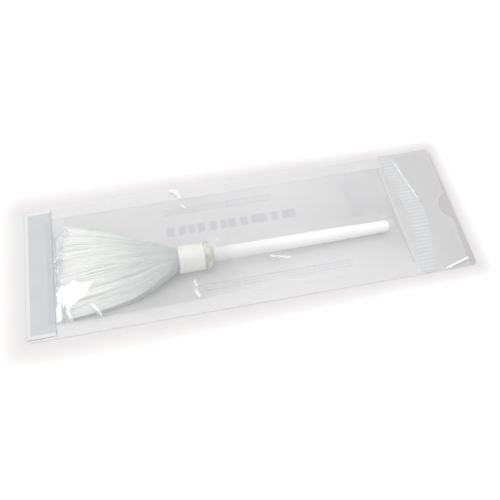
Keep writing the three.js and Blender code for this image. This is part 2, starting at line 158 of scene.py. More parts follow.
class Surface:
    """A node material under construction. Textures read the surface's place at rest."""

    def __init__(self, name, place="rest"):
        self.material = bpy.data.materials.new(name)
        self.material.use_nodes = True
        self.tree = self.material.node_tree
        self.tree.nodes.clear()
        self.output = self.tree.nodes.new("ShaderNodeOutputMaterial")
        if place == "rest":
            self.place = self.node("Attribute", attribute_name="rest").outputs["Vector"]
        else:
            self.place = self.node("TexCoord").outputs["Object"]

    def node(self, kind, sockets=None, **settings):
        made = self.tree.nodes.new("ShaderNode" + kind)
        for key, value in settings.items():
            setattr(made, key, value)
        for key, value in (sockets or {}).items():
            if isinstance(value, bpy.types.NodeSocket):
                self.tree.links.new(value, made.inputs[key])
            else:
                made.inputs[key].default_value = value
        return made

    def math(self, operation, a, b=0.0, c=0.0, clamp=False):
        made = self.node("Math", {0: a, 1: b, 2: c}, operation=operation, use_clamp=clamp)
        return made.outputs[0]

    def stretched(self, x, y, z):
        made = self.node("Mapping", {"Vector": self.place, "Scale": (x, y, z)})
        return made.outputs["Vector"]

    def noise(self, scale, detail=3.0, roughness=0.55, vector=None, distortion=0.0):
        sockets = {
            "Vector": vector or self.place,
            "Scale": scale,
            "Detail": detail,
            "Roughness": roughness,
            "Distortion": distortion,
        }
        return self.node("TexNoise", sockets).outputs["Fac"]

    def ramp(self, factor, *stops):
        made = self.node("ValToRGB", {"Fac": factor})
        elements = made.color_ramp.elements
        while len(elements) < len(stops):
            elements.new(0.5)
        for element, (position, colour) in zip(elements, stops):
            element.position = position
            element.color = opaque(colour)
        return made.outputs["Color"]

    def mix(self, factor, a, b):
        # A Mix node's colour sockets are its inputs 6 and 7, and its output 2.
        sockets = {0: factor, 6: opaque(a), 7: opaque(b)}
        return self.node("Mix", sockets, data_type="RGBA").outputs[2]

    def tinted(self, tone, mask, amount, colour):
        """A tone drawn towards a colour by that amount, where the mask is 1."""
        return self.mix(self.math("MULTIPLY", mask, amount), tone, colour)

    def axes(self):
        return self.node("SeparateXYZ", {"Vector": self.place}).outputs

    def band(self, value, low, high, edge):
        """1 between low and high, in millimetres, with soft edges."""

        def step(at):
            ends = {"From Min": (at - edge) / MM, "From Max": (at + edge) / MM}
            sockets = {"Value": value, **ends}
            return self.node("MapRange", sockets, interpolation_type="SMOOTHSTEP").outputs[0]

        return self.math("SUBTRACT", step(low), step(high), clamp=True)

    def fade(self, value, start, end):
        """0 at one place along an axis and 1 at another, both in millimetres."""
        sockets = {"Value": value, "From Min": start / MM, "From Max": end / MM}
        return self.node("MapRange", sockets).outputs[0]

    def area(self, x_low, x_high, y_low, y_high, edge=0.3):
        """1 inside a rectangle of the pouch's plan, in millimetres."""
        x, y, _ = self.axes()
        across = self.band(x, x_low, x_high, edge)
        along = self.band(y, y_low, y_high, edge)
        return self.math("MULTIPLY", across, along)

    def with_cut_edge(self, tone, half_width):
        """The sheet's own tone, and a paler painted light on its two cut sides, against their
        shade.
        """
        _, y, _ = self.axes()
        inside = self.band(y, CUT_DEPTH - half_width, half_width - CUT_DEPTH, 0.03)
        return self.mix(inside, CUT_SIDE_PAINTED_LIGHT, tone)

    def bump(self, height, distance, strength=1.0):
        sockets = {"Height": height, "Distance": distance / MM, "Strength": strength}
        return self.node("Bump", sockets).outputs["Normal"]

    def principled(self, colour, roughness, normal=None, **extra):
        sockets = {"Base Color": opaque(colour), "Roughness": roughness, **extra}
        if normal is not None:
            sockets["Normal"] = normal
        return self.node("BsdfPrincipled", sockets).outputs[0]

    def show(self, shader):
        self.tree.links.new(shader, self.output.inputs["Surface"])
        return self.material


def print_blocks(s, x):
    """A row of blocks of uneven width, where the sum of two waves is high."""
    first = s.math("SINE", s.math("MULTIPLY", x, 2 * math.pi * MM / 6.4))
    second = s.math("SINE", s.math("MULTIPLY", x, 2 * math.pi * MM / 9.3))
    wave = s.math("MULTIPLY_ADD", second, 0.7, first)
    return s.math("MULTIPLY_ADD", wave, 2.5, 1.6, clamp=True)


def small_print(s):
    """Rows of short fine bars."""
    sockets = {
        "Vector": s.place,
        "Color1": (1, 1, 1, 1),
        "Color2": (0.5, 0.5, 0.5, 1),
        "Mortar": (0, 0, 0, 1),
        "Scale": 1.0,
        "Mortar Size": 0.45 / MM,
        "Mortar Smooth": 0.3,
        "Brick Width": 4.2 / MM,
        "Row Height": 1.9 / MM,
    }
    return s.node("TexBrick", sockets, squash=0.7, squash_frequency=2).outputs["Color"]


def paper_material():
    s = Surface("pouch_paper")
    grain = s.noise(2600.0, 4.0)
    fibres = s.noise(700.0, 5.0, vector=s.stretched(0.35, 1.6, 1.0), distortion=1.5)
    cloud = s.noise(28.0, 3.0)
    x, y, _ = s.axes()
    # Painted light: paler towards the flap, for the light falling off towards the tab.
    flapward_painted_light = s.fade(x, DARK_FROM_X, PALE_FROM_X)
    tone = s.mix(cloud, (0.465, 0.453, 0.456), (0.515, 0.502, 0.503))
    tone = s.tinted(tone, grain, 0.35, (0.555, 0.545, 0.545))
    tone = s.tinted(tone, fibres, 0.25, (0.41, 0.40, 0.41))
    tone = s.tinted(tone, flapward_painted_light, 0.75, (0.70, 0.69, 0.69))
    # Painted light: the paper is painted paler towards the near side as well.
    near_side_painted_light = s.math("MULTIPLY", s.fade(y, 4.0, -28.0), flapward_painted_light)
    tone = s.tinted(tone, near_side_painted_light, 0.55, (0.80, 0.79, 0.79))
    ink = s.math("MULTIPLY", s.area(*PRINT_BLOCKS, 0.5), print_blocks(s, x))
    fine_print = small_print(s)
    for place in PRINT_ROWS:
        ink = s.math("ADD", ink, s.math("MULTIPLY", s.area(*place, 0.4), fine_print))
    tone = s.tinted(tone, ink, 0.42, (0.33, 0.35, 0.44))
    height = s.math("ADD", grain, s.math("MULTIPLY", fibres, 0.6))
    tone = s.with_cut_edge(tone, HALF_WIDTH)
    return s.show(s.principled(tone, 0.88, s.bump(height, 0.04, 0.5)))


def flap_material():
    s = Surface("flap_paper")
    grain = s.noise(2200.0, 4.0)
    cloud = s.noise(90.0, 4.0)
    tone = s.mix(cloud, (0.475, 0.50, 0.522), (0.53, 0.552, 0.57))
    tone = s.tinted(tone, grain, 0.4, (0.60, 0.62, 0.635))
    # Painted shade: a darker, bluer strip along the flap's free edge between the seals, for the
    # shade where the film lifts under it.
    band = s.area(FLAP_EDGE_X - 3.6, FLAP_EDGE_X + 3, -SEAL_INNER_Y, SEAL_INNER_Y - 2, 0.25)
    tone = s.tinted(tone, band, 0.3, (0.40, 0.44, 0.50))
    # Outside its glued middle the flap is paler: its unglued margins, and at the fold a painted
    # highlight.
    glued_middle_off_fold_highlight = s.area(-HALF_LENGTH + 2.2, FLAP_EDGE_X + 4, -41.4, 41.4, 0.35)
    tone = s.mix(glued_middle_off_fold_highlight, (0.66, 0.675, 0.675), tone)
    tone = s.with_cut_edge(tone, FLAP_HALF_WIDTH)
    return s.show(s.principled(tone, 0.72, s.bump(grain, 0.03, 0.5)))


def seal_material():
    s = Surface("heat_seal")
    grain = s.noise(1500.0, 3.0)
    cloud = s.noise(45.0, 3.0)
    x, _, _ = s.axes()
    # Painted light: the seals too are painted paler towards the flap, for the light falling off
    # towards the tab.
    flapward_painted_light = s.fade(x, DARK_FROM_X, PALE_FROM_X)
    tone = s.mix(cloud, (0.56, 0.555, 0.56), (0.61, 0.605, 0.605))
    tone = s.tinted(tone, grain, 0.4, (0.53, 0.535, 0.54))
    tone = s.tinted(tone, flapward_painted_light, 0.7, (0.70, 0.695, 0.695))
    tone = s.with_cut_edge(tone, HALF_WIDTH)
    return s.show(s.principled(tone, 0.5, s.bump(grain, 0.03, 0.6)))


def end_bar_material():
    """The thin seal line: paper tone, darker along its inner edge."""
    s = Surface("end_seal")
    grain = s.noise(1500.0, 3.0)
    low, _ = corners("end_seal_line")
    tone = s.mix(s.noise(45.0, 3.0), (0.56, 0.55, 0.555), (0.61, 0.60, 0.60))
    inner_edge_line = s.area(low[0] - 1, low[0] + 0.7, -HALF_WIDTH, HALF_WIDTH, 0.25)
    tone = s.tinted(tone, inner_edge_line, 0.4, (0.27, 0.27, 0.29))
    return s.show(s.principled(tone, 0.6, s.bump(grain, 0.03, 0.6)))


def ribbed_seal_material():
    s = Surface("ribbed_heat_seal")
    _, y, _ = s.axes()
    wobble = s.math("MULTIPLY", s.noise(60.0, 2.0), 1.6)
    phase = s.math("ADD", s.math("MULTIPLY", y, 2 * math.pi * MM / RIB_PITCH), wobble)
    rib = s.math("MULTIPLY_ADD", s.math("SINE", phase), 0.5, 0.5)
    patches = s.noise(120.0, 4.0)
    tone = s.mix(patches, (0.53, 0.532, 0.537), (0.66, 0.66, 0.663))
    tone = s.tinted(tone, rib, 0.55, (0.42, 0.427, 0.44))
    return s.show(s.principled(tone, 0.5, s.bump(s.noise(1500.0), 0.03, 0.6)))


def film_material():
    """Clear film: see-through, faintly hazy, and as shiny at a low angle as plastic is."""
    s = Surface("clear_film")
    ripple = s.noise(150.0, 3.0, vector=s.stretched(1.0, 0.7, 1.0))
    fine = s.noise(900.0, 2.0)
    height = s.math("ADD", ripple, s.math("MULTIPLY", fine, 0.05))
    normal = s.bump(height, 0.15, 0.4)
    clear = s.node("BsdfTransparent", {"Color": opaque(FILM_TINT)}).outputs[0]
    haze_and_painted_highlight = s.principled((0.93, 0.94, 0.95), 0.6)
    share = s.math("MULTIPLY_ADD", s.noise(70.0, 4.0), 0.6 * FILM_HAZE, 0.7 * FILM_HAZE)
    # Painted highlights: along the creases the film turns to the white cloudy part.
    highlight_paint = s.node("Attribute", attribute_name="crease_highlight_paint").outputs["Fac"]
    share = s.math("MAXIMUM", share, highlight_paint)
    body = s.node("MixShader", {0: share, 1: clear, 2: haze_and_painted_highlight}).outputs[0]
    gloss = s.node(
        "BsdfAnisotropic", {"Color": (1, 1, 1, 1), "Roughness": 0.055, "Normal": normal}
    ).outputs[0]
    facing = s.node("LayerWeight", {"Blend": 0.5}).outputs["Facing"]
    slant = s.math("POWER", facing, 5.0)
    mirror = s.math("MULTIPLY_ADD", slant, 0.94, FILM_MIRROR)
    return s.show(s.node("MixShader", {0: mirror, 1: body, 2: gloss}).outputs[0])


def handle_material():
    s = Surface("handle_plastic")
    cloud = s.noise(60.0, 3.0)
    drag = s.noise(900.0, 3.0, vector=s.stretched(0.06, 1.0, 1.0))
    tone = s.mix(cloud, (0.90, 0.897, 0.89), (0.94, 0.937, 0.93))
    x, _, _ = s.axes()
    # Painted shade: darker towards the collar, for the collar's shadow on the handle.
    collar_shadow_paint = s.fade(x, 30.0, -20.0)
    tone = s.tinted(tone, collar_shadow_paint, 0.85, (0.70, 0.70, 0.70))
    roughness = s.math("MULTIPLY_ADD", drag, 0.18, 0.30)
    extra = {"Subsurface Weight": 0.15, "Subsurface Radius": (1.0, 0.9, 0.8)}
    extra["Subsurface Scale"] = 0.0015
    return s.show(s.principled(tone, roughness, s.bump(drag, 0.02, 0.4), **extra))


def collar_material():
    s = Surface("collar_plastic")
    cloud = s.noise(120.0, 3.0)
    grain = s.noise(2400.0, 3.0)
    tone = s.mix(cloud, (0.72, 0.72, 0.685), (0.77, 0.77, 0.735))
    return s.show(s.principled(tone, 0.55, s.bump(grain, 0.03, 0.5)))


def glue_material():
    s = Surface("cured_glue")
    cloud = s.noise(260.0, 4.0, distortion=0.8)
    tone = s.ramp(cloud, (0.35, (0.32, 0.325, 0.20)), (0.62, (0.62, 0.62, 0.50)))
    extra = {
        "Subsurface Weight": 0.6,
        "Subsurface Radius": (1.0, 0.95, 0.6),
        "Subsurface Scale": 0.002,
        "Coat Weight": 0.8,
        "Coat Roughness": 0.1,
    }
    return s.show(s.principled(tone, 0.16, s.bump(cloud, 0.25, 0.6), **extra))


def thread_material():
    s = Surface("binding_thread", place="object")
    turns = s.node(
        "TexWave",
        {"Vector": s.place, "Scale": 500.0, "Distortion": 0.6, "Detail": 2.0},
        bands_direction="X",
    ).outputs["Fac"]
    tone = s.mix(turns, (0.45, 0.42, 0.35), (0.72, 0.69, 0.60))
    return s.show(s.principled(tone, 0.8, s.bump(turns, 0.15, 0.8)))


def adhesive_material():
    s = Surface("tacky_adhesive")
    streak = s.noise(500.0, 4.0, vector=s.stretched(1.0, 0.15, 1.0))
    tone = s.mix(streak, (0.46, 0.54, 0.60), (0.58, 0.64, 0.68))
    roughness = s.math("MULTIPLY_ADD", streak, 0.3, 0.2)
    return s.show(s.principled(tone, roughness, s.bump(streak, 0.05, 0.6)))


def fibre_material():
    """Glass fibre: clear and grey-green near the collar, whiter towards the broken tips. The
    darker root is partly the glass's own tint and partly painted shade.
    """
    s = Surface("glass_fibre")
    x, _, _ = s.axes()
    reach = s.fade(x, COLLAR_FRONT_X, COLLAR_FRONT_X - TUFT_LENGTH)
    # Darker towards the collar: the glass's own grey-green, and painted shade of the dense root.
    body = s.ramp(
        reach,
        (0.0, (0.53, 0.56, 0.55)),
        (0.3, (0.69, 0.72, 0.695)),
        (0.62, (0.91, 0.92, 0.89)),
        (0.82, (1.0, 1.0, 0.98)),
    )
    own = s.node("Attribute", attribute_name="fibre_tone_and_painted_core_shade").outputs["Fac"]
    tone = s.tinted(body, own, 0.92, (0.30, 0.335, 0.33))
    return s.show(s.principled(tone, 0.33, **{"Specular IOR Level": 0.7}))


def floor_material():
    """A white table, with a painted shadow that greys it close round the pouch."""
    s = Surface("studio_floor", place="object")
    x, y, _ = s.axes()
    beyond_x = s.math("MAXIMUM", s.math("SUBTRACT", s.math("ABSOLUTE", x), HALF_LENGTH / MM), 0.0)
    beyond_y = s.math("MAXIMUM", s.math("SUBTRACT", s.math("ABSOLUTE", y), HALF_WIDTH / MM), 0.0)
    squares = s.math("ADD", s.math("POWER", beyond_x, 2.0), s.math("POWER", beyond_y, 2.0))
    # The painted shadow reaches further at the flap's end than at the tab's.
    ends = {"From Min": -0.1, "From Max": 0.1, "To Min": 0.03, "To Max": 0.017}
    reach = s.node("MapRange", {"Value": x, **ends}).outputs[0]
    out_of_painted_shadow = s.node(
        "MapRange",
        {"Value": s.math("DIVIDE", s.math("SQRT", squares), reach)},
        interpolation_type="SMOOTHSTEP",
    ).outputs[0]
    cloud = s.noise(30.0, 2.0)
    # Painted shadow: the floor's tone right round the pouch.
    near = s.mix(cloud, (0.665, 0.653, 0.656), (0.71, 0.702, 0.703))
    tone = s.mix(out_of_painted_shadow, near, (0.985, 0.985, 0.985))
    return s.show(s.principled(tone, 0.95, **{"Specular IOR Level": 0.0}))


# ---------------------------------------------------------------- meshes


def object_from(name, points, faces, material, flat_beyond=40.0):
    """A mesh object from points in millimetres. It remembers where each point is at rest."""
    mesh = bpy.data.meshes.new(name)
    metres = np.asarray(points, float).reshape(-1, 3) / MM
    mesh.from_pydata(metres.tolist(), [], [list(face) for face in faces])
    mesh.validate()
    mesh.update()
    rest = mesh.attributes.new("rest", "FLOAT_VECTOR", "POINT")
    rest.data.foreach_set("vector", metres.astype(np.float32).ravel())
    mesh.shade_smooth()
    mesh.set_sharp_from_angle(angle=math.radians(flat_beyond))
    mesh.materials.append(material)
    made = bpy.data.objects.new(name, mesh)
    bpy.context.scene.collection.objects.link(made)
    return made


def sheet_faces(rows, columns):
    """Faces of a closed thin sheet whose points are a top grid and then a bottom grid."""
    grid = np.arange(rows * columns).reshape(rows, columns)
    a, b, c, d = grid[:-1, :-1], grid[1:, :-1], grid[1:, 1:], grid[:-1, 1:]
    top = np.stack([a, b, c, d], -1).reshape(-1, 4)
    bottom = np.stack([a, d, c, b], -1).reshape(-1, 4) + rows * columns
    rim = np.concatenate([grid[:, 0], grid[-1, 1:], grid[-2::-1, -1], grid[0, -2:0:-1]])
    after = np.roll(rim, -1)
    below = rows * columns
    side = np.stack([rim + below, after + below, after, rim], -1)
    return np.concatenate([top, bottom, side])


def sheet(name, x, y, low, high, material):
    """A thin sheet over a grid of plan places, between two heights."""
    top = np.stack([x, y, np.broadcast_to(high, x.shape)], -1)
    bottom = np.stack([x, y, np.broadcast_to(low, x.shape)], -1)
    points = np.concatenate([top.reshape(-1, 3), bottom.reshape(-1, 3)])
    return object_from(name, points, sheet_faces(*x.shape), material)


def turned(name, profile, segments, material, shape=None):
    """A solid of revolution about the brush's axis, from (distance, radius) pairs."""
    axis = np.array([1.0, SLOPE_Y, SLOPE_Z])
    axis /= np.linalg.norm(axis)
    side = np.cross([0, 0, 1.0], axis)
    side /= np.linalg.norm(side)
    up = np.cross(axis, side)
    origin = np.array([COLLAR_FRONT_X, BRUSH_AXIS_Y, AXIS_Z])
    along, radius = np.array(profile).T
    angle = np.linspace(0, 2 * math.pi, segments, endpoint=False)
    distance = np.repeat(along[:, None], segments, 1)
    reach = np.repeat(radius[:, None], segments, 1)
    if shape is not None:
        distance, reach = shape(distance, reach, angle[None, :])
    turn = np.cos(angle)[:, None] * side + np.sin(angle)[:, None] * up
    points = origin + distance[..., None] * axis + reach[..., None] * turn[None]
    rings = len(profile)
    grid = np.arange(rings * segments).reshape(rings, segments)
    after = np.roll(grid, -1, 1)
    closed = radius[0] > 0 and np.allclose(profile[0], profile[-1])
    if closed:
        grid[-1], after[-1] = grid[0], after[0]
    quads = np.stack([grid[:-1], after[:-1], after[1:], grid[1:]], -1).reshape(-1, 4)
    points = points.reshape(-1, 3)
    if closed:
        return object_from(name, points[: (rings - 1) * segments], quads, material)
    faces = [list(face) for face in quads]
    faces.append(list(grid[0][::-1]))
    faces.append(list(grid[-1]))
    return object_from(name, points, faces, material)


def stand_for(piece, node, body):
    """Hides the CAD node that a piece stands for, and sets the piece on the body that it rides
    on.
    """
    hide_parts(node)
    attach(piece, body)


# ---------------------------------------------------------------- the pouch's gentle curl


def curl(x, y):
    """How far the pouch's edges lift off the table."""
    far = 0.55 + 0.30 * np.sin(x / 15.0 + 0.6) + 0.15 * np.sin(x / 6.1 + 1.0)
    near = 0.02 + 0.02 * np.sin(x / 19.0 + 2.2)
    edge = smooth((np.abs(y) - 33.0) / 13.0)
    sides = edge * np.where(y > 0, far, near) * smooth((x + HALF_LENGTH) / 25.0)
    end = smooth((x - 112.0) / 20.0) * (0.9 + 0.9 * y / HALF_WIDTH)
    return sides + end


def plan_grid(x_lines, y_lines):
    return np.meshgrid(x_lines, y_lines, indexing="ij")


CORNER_RADIUS = 3.0


def corner_inset(x):
    """How far the paper's two round corners draw its sides in, near the tab's end."""
    past = np.clip(x - HALF_LENGTH + CORNER_RADIUS, 0, CORNER_RADIUS)
    return CORNER_RADIUS - np.sqrt(CORNER_RADIUS**2 - past**2)


FOLD_RADIUS = (ADHESIVE_TOP + FLAP_TOP - PAPER_TOP) / 4
FOLD_X = -HALF_LENGTH + FOLD_RADIUS + PAPER_TOP / 2


def paper_web(material):
    straight_end = HALF_LENGTH - CORNER_RADIUS
    quarter = np.linspace(0, math.pi / 2, 9)[1:]
    x_lines = np.concatenate([
        np.linspace(FOLD_X, straight_end, 150), straight_end + CORNER_RADIUS * np.sin(quarter)
    ])
    x, side = plan_grid(x_lines, np.linspace(-1, 1, 61))
    y = side * (HALF_WIDTH - corner_inset(x))
    lift = curl(x, y)
    made = sheet("pouch_web", x, y, lift, PAPER_TOP + lift, material)
    stand_for(made, "paper_web", "pouch")


# The seals stop this far short of the film, so that no two faces lie in one plane.
SEAL_SINK = 0.02


def seal_piece(name, node, x, y, rib, material):
    lift = curl(x, y)
    made = sheet(name, x, y, PAPER_TOP + lift, SEAL_TOP - SEAL_SINK + lift + rib, material)
    stand_for(made, node, "pouch")


def seals(band_material, rib_material):
    for end, node in (("near", "side_seal_near"), ("far", "side_seal_far")):
        low, high = corners(node)
        x, y = plan_grid(
            np.linspace(low[0], high[0], 130), np.linspace(low[1], high[1], 9)
        )
        wander = 0.35 * np.sin(x / 9.0) + 0.25 * np.sin(x / 4.3 + y / 3.0)
        inner = np.where(y > 0, y <= low[1] + 1, y >= high[1] - 1)
        y = y + np.where(inner, 0.6 * wander, 0)
        seal_piece(f"side_band_{end}", node, x, y, 0.0, band_material)
    low, high = corners("end_seal_line")
    x, y = plan_grid(np.linspace(low[0], high[0], 4), np.linspace(low[1], high[1], 40))
    seal_piece("end_bar", "end_seal_line", x, y, 0.0, end_bar_material())
    low, high = corners("chevron_seal")
    inner_side, outer_side = 97.0, 105.0
    inner_apex, outer_apex = 101.5, 113.5
    apex_y = -1.0
    share, y = plan_grid(np.linspace(0, 1, 9), np.linspace(low[1], high[1], 241))
    height = np.where(
        y < apex_y, (y - low[1]) / (apex_y - low[1]), (high[1] - y) / (high[1] - apex_y)
    )
    inner = lerp(inner_side, inner_apex, height)
    outer = lerp(outer_side, outer_apex, height)
    x = lerp(inner, outer, share)
    rib = 0.01 * np.sin(2 * math.pi * y / RIB_PITCH)
    seal_piece("chevron_band", "chevron_seal", x, y, rib, rib_material)


# The flap's rim bends down to the film.
RIM_WIDTH = 3.0
RIM_DROP = 0.12


def closure(flap_paper, adhesive):
    angles = np.linspace(-math.pi / 2, math.pi / 2, 15)
    fold_height = PAPER_TOP / 2 + FOLD_RADIUS
    half = PAPER_TOP / 2
    run = np.linspace(FOLD_X, FLAP_EDGE_X, 26)[1:]
    skins = []
    for radius in (FOLD_RADIUS + half, FOLD_RADIUS - half):
        fold_x = FOLD_X - radius * np.cos(angles)
        fold_z = fold_height + radius * np.sin(angles)
        x_line = np.concatenate([fold_x, run])
        z_line = np.concatenate([fold_z, np.full(run.shape, fold_height + radius)])
        skins.append((x_line, z_line))
    y_line = np.linspace(-FLAP_HALF_WIDTH, FLAP_HALF_WIDTH, 57)
    points = []
    for x_line, z_line in skins:
        x, y = plan_grid(x_line, y_line)
        z = np.repeat(z_line[:, None], len(y_line), 1) + curl(x, y)
        rim = np.maximum(x - FLAP_EDGE_X, np.abs(y) - FLAP_HALF_WIDTH)
        past_fold = smooth((x + HALF_LENGTH) / RIM_WIDTH)
        z = z - RIM_DROP * smooth(rim / RIM_WIDTH + 1) * past_fold
        points.append(np.stack([x, y, z], -1).reshape(-1, 3))
    faces = sheet_faces(len(skins[0][0]), len(y_line))
    flap = object_from("flap_fold", np.concatenate(points), faces, flap_paper)
    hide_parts("closure_flap")
    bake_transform(flap)

    low, high = corners("adhesive_strip")
    x, y = plan_grid(np.linspace(low[0], high[0], 12), np.linspace(low[1], high[1], 57))
    x = x + np.where(x > high[0] - 0.5, 0.25 * np.sin(y / 2.1), 0)
    lift = curl(x, y)
    strip = sheet("adhesive_band", x, y, low[2] + lift, high[2] + lift, adhesive)
    stand_for(strip, "adhesive_strip", "flap")


# ---------------------------------------------------------------- tuft

# How far the tuft's two edges leave its axis by the tips, and how early they bow out.
SPREAD_NEAR = -14.5
SPREAD_FAR = 41.0
BOW_NEAR = 0.05
BOW_FAR = 0.0083
# Distances from the collar: round to flat, down on the paper, and thinning from there on.
FAN_LENGTH = 25.0
SETTLE_LENGTH = 40.0
THINNING_START = 60.0
TIP_THICKNESS = 1.7


def tuft_point(s, u, v):
    """The CAD part's map from distance, near-far place and height place to a point."""
    s, u, v = np.broadcast_arrays(np.asarray(s, float), u, v)
    along = np.maximum(s, 0)
    fan = smooth(along / FAN_LENGTH)
    spread = lerp(SPREAD_NEAR, SPREAD_FAR, (u + 1) / 2)
    bow = lerp(BOW_NEAR, BOW_FAR, (u + 1) / 2)
    share = (1 - np.exp(-along * bow)) / (1 - np.exp(-TUFT_LENGTH * bow))
    round_u = u * np.sqrt(1 - v * v / 2)
    round_v = v * np.sqrt(1 - u * u / 2)
    y = ROOT_RADIUS * lerp(round_u, u, fan) + spread * share
    axis_z = AXIS_Z - s * SLOPE_Z
    bottom = lerp(axis_z - ROOT_RADIUS, REST_LEVEL, smooth(along / SETTLE_LENGTH))
    fan_top = lerp(AXIS_Z + ROOT_RADIUS, TIP_TOP, along / THINNING_START)
    thinning = (along - THINNING_START) / (TUFT_LENGTH - THINNING_START)
    thin_top = lerp(TIP_TOP, REST_LEVEL + TIP_THICKNESS, thinning)
    top = np.where(along < THINNING_START, fan_top, thin_top)
    crown = np.sqrt(1 - EDGE_HEIGHT * u * u)
    flat_z = bottom + (top - bottom) / 2 * crown * (1 + v)
    z = lerp(axis_z + ROOT_RADIUS * round_v, flat_z, fan)
    return np.stack([COLLAR_FRONT_X - s, BRUSH_AXIS_Y - s * SLOPE_Y + y, z], -1)


def tip_distance(u):
    """How far the tips reach from the collar. The two sides of the tuft are shorter."""
    return TUFT_LENGTH - 5 * (u + 0.1) ** 2


FIBRE_RINGS = 12
FIBRE_START = -4.0
FIBRE_RADIUS = (0.10, 0.19)
# By whether the layer is the top one: its clumps of fibres, and how far they mix with their
# neighbours, as a share of a strand's width.
CLUMPS = {True: 20, False: 6}
MINGLE = {True: 0.14, False: 0.0}
GATHER = 0.35
CORE_CORNERS = 40
# Painted shade: the cores are drawn darker than the fibres, for the shade deep in a bundle.
CORE_PAINTED_SHADE = 0.7


def fibre_lines(cell, length, count, top_layer):
    """The middle lines of a bundle's fibres, their radii, and the shade of each."""
    u_low, u_high, v_low, v_high = cell
    width = u_high - u_low
    clumps = CLUMPS[top_layer]
    member = random.integers(0, clumps, count)
    clump_place = (np.arange(clumps) + random.uniform(-0.3, 1.3, clumps)) / clumps
    clump_u = u_low + width * clump_place
    clump_reach = random.normal(0, 1.1, clumps)[member][:, None]
    clump_shade = random.beta(0.5, 1.9, clumps)[member]
    mingle = MINGLE[top_layer] * width
    u = random.uniform(u_low - mingle, u_high + mingle, (count, 1))
    depth = random.beta(1.6 if not top_layer else 3.0, 1.2, (count, 1))
    reach = length + clump_reach + random.normal(-0.6, 1.0, (count, 1))
    reach = reach - 3.0 * random.random((count, 1)) ** 4
    share = np.linspace(0, 1, FIBRE_RINGS)[None, :]
    s = lerp(FIBRE_START, np.minimum(reach, TUFT_LENGTH), share)
    bend = random.normal(0, 1, (count, 2))
    drift = 0.05 * width * bend[:, :1] * share**2
    drift = drift + 0.02 * width * bend[:, 1:] * np.sin(5 * share)
    u = lerp(u, clump_u[member][:, None], GATHER * smooth(share * 1.15))
    u = np.clip(u + drift, -0.985, 0.985)
    v = np.clip(lerp(v_low, v_high, depth) + 0.04 * bend[:, 1:] * share, -0.96, 0.955)
    radii = random.uniform(*FIBRE_RADIUS, (count, 1)) * lerp(1.0, 0.7, share**3)
    turn = random.uniform(0, 2 * math.pi, (count, 1))
    shade = 0.6 * clump_shade + 0.4 * random.beta(0.7, 2.8, count)
    return tuft_point(s, u, v), radii, turn, shade


def fibre_skins(path, radii, turn):
    """Points and faces of three-sided closed tubes along the fibres' middle lines."""
    count = len(path)
    tangent = np.gradient(path, axis=1)
    tangent /= np.linalg.norm(tangent, axis=-1, keepdims=True)
    side = np.cross(tangent, [0, 0, 1.0])
    side /= np.linalg.norm(side, axis=-1, keepdims=True)
    up = np.cross(side, tangent)
    rings = []
    for k in range(3):
        angle = turn + 2 * math.pi * k / 3
        offset = np.cos(angle)[..., None] * side + np.sin(angle)[..., None] * up
        rings.append(path + radii[..., None] * offset)
    points = np.stack(rings, 2).reshape(-1, 3)
    base = np.arange(count)[:, None, None] * FIBRE_RINGS * 3
    ring = np.arange(FIBRE_RINGS - 1)[None, :, None] * 3
    corner = np.arange(3)[None, None, :]
    a = base + ring + corner
    b = base + ring + (corner + 1) % 3
    sides = np.stack([a, a + 3, b + 3, b], -1).reshape(-1, 4)
    starts = (np.arange(count) * FIBRE_RINGS * 3)[:, None]
    ends = starts + (FIBRE_RINGS - 1) * 3
    caps = np.concatenate([starts + [0, 1, 2], ends + [2, 1, 0]])
    return points, [*map(list, sides), *map(list, caps)]


def core_skin(cell, length, column, first):
    """Points and faces of a bundle's grooved core. Its points are numbered from first on."""
    u_low, u_high, v_low, v_high = cell
    s = np.concatenate([[FIBRE_START], np.linspace(0, length - 9.0, 14)])
    t = np.linspace(0, 4, CORE_CORNERS, endpoint=False)
    edge_u = np.interp(t, [0, 1, 2, 3, 4], [0, 1, 1, 0, 0])
    edge_v = np.interp(t, [0, 1, 2, 3, 4], [0, 0, 1, 1, 0])
    groove = 0.05 * (1 + np.sin(t * 19.0 + column)) * 0.5
    u = lerp(u_low, u_high, 0.03 + 0.94 * edge_u)
    v = lerp(v_low, v_high, 0.07 + groove + (0.80 - 2 * groove) * edge_v)
    points = tuft_point(s[:, None], u[None, :], v[None, :]).reshape(-1, 3)
    grid = np.arange(len(points)).reshape(-1, CORE_CORNERS) + first
    after = np.roll(grid, -1, 1)
    skin = np.stack([grid[:-1], grid[1:], after[1:], after[:-1]], -1).reshape(-1, 4)
    return points, [*map(list, skin), list(grid[0]), list(grid[-1][::-1])]


def bundle(name, column, layer, count, material):
    """One roving: a grooved core that stops short, and many single fibres round it."""
    u_low = -1 + 2 * column / STRANDS_ACROSS
    u_high = u_low + 2 / STRANDS_ACROSS
    v_low = -1 + 2 * layer / STRAND_LAYERS
    cell = (u_low, u_high, v_low, v_low + 2 / STRAND_LAYERS)
    length = tip_distance((u_low + u_high) / 2) - 1.2 + 0.9 * math.sin(2.4 * column + 1.7 * layer)

    path, radii, turn, shade = fibre_lines(cell, length, count, layer == STRAND_LAYERS - 1)
    fibres, fibre_faces = fibre_skins(path, radii, turn)
    core, core_faces = core_skin(cell, length, column, len(fibres))
    points = np.concatenate([fibres, core])
    made = object_from(name, points, fibre_faces + core_faces, material, flat_beyond=70.0)

    # The fibres keep their own random tone, the core its painted shade.
    shades = np.concatenate([np.repeat(shade, FIBRE_RINGS * 3), np.full(len(core), CORE_PAINTED_SHADE)])
    own = made.data.attributes.new("fibre_tone_and_painted_core_shade", "FLOAT", "POINT")
    own.data.foreach_set("value", shades.astype(np.float32))
    return made


FIBRES_PER_LAYER = {"low": 80, "middle": 110, "top": 300}


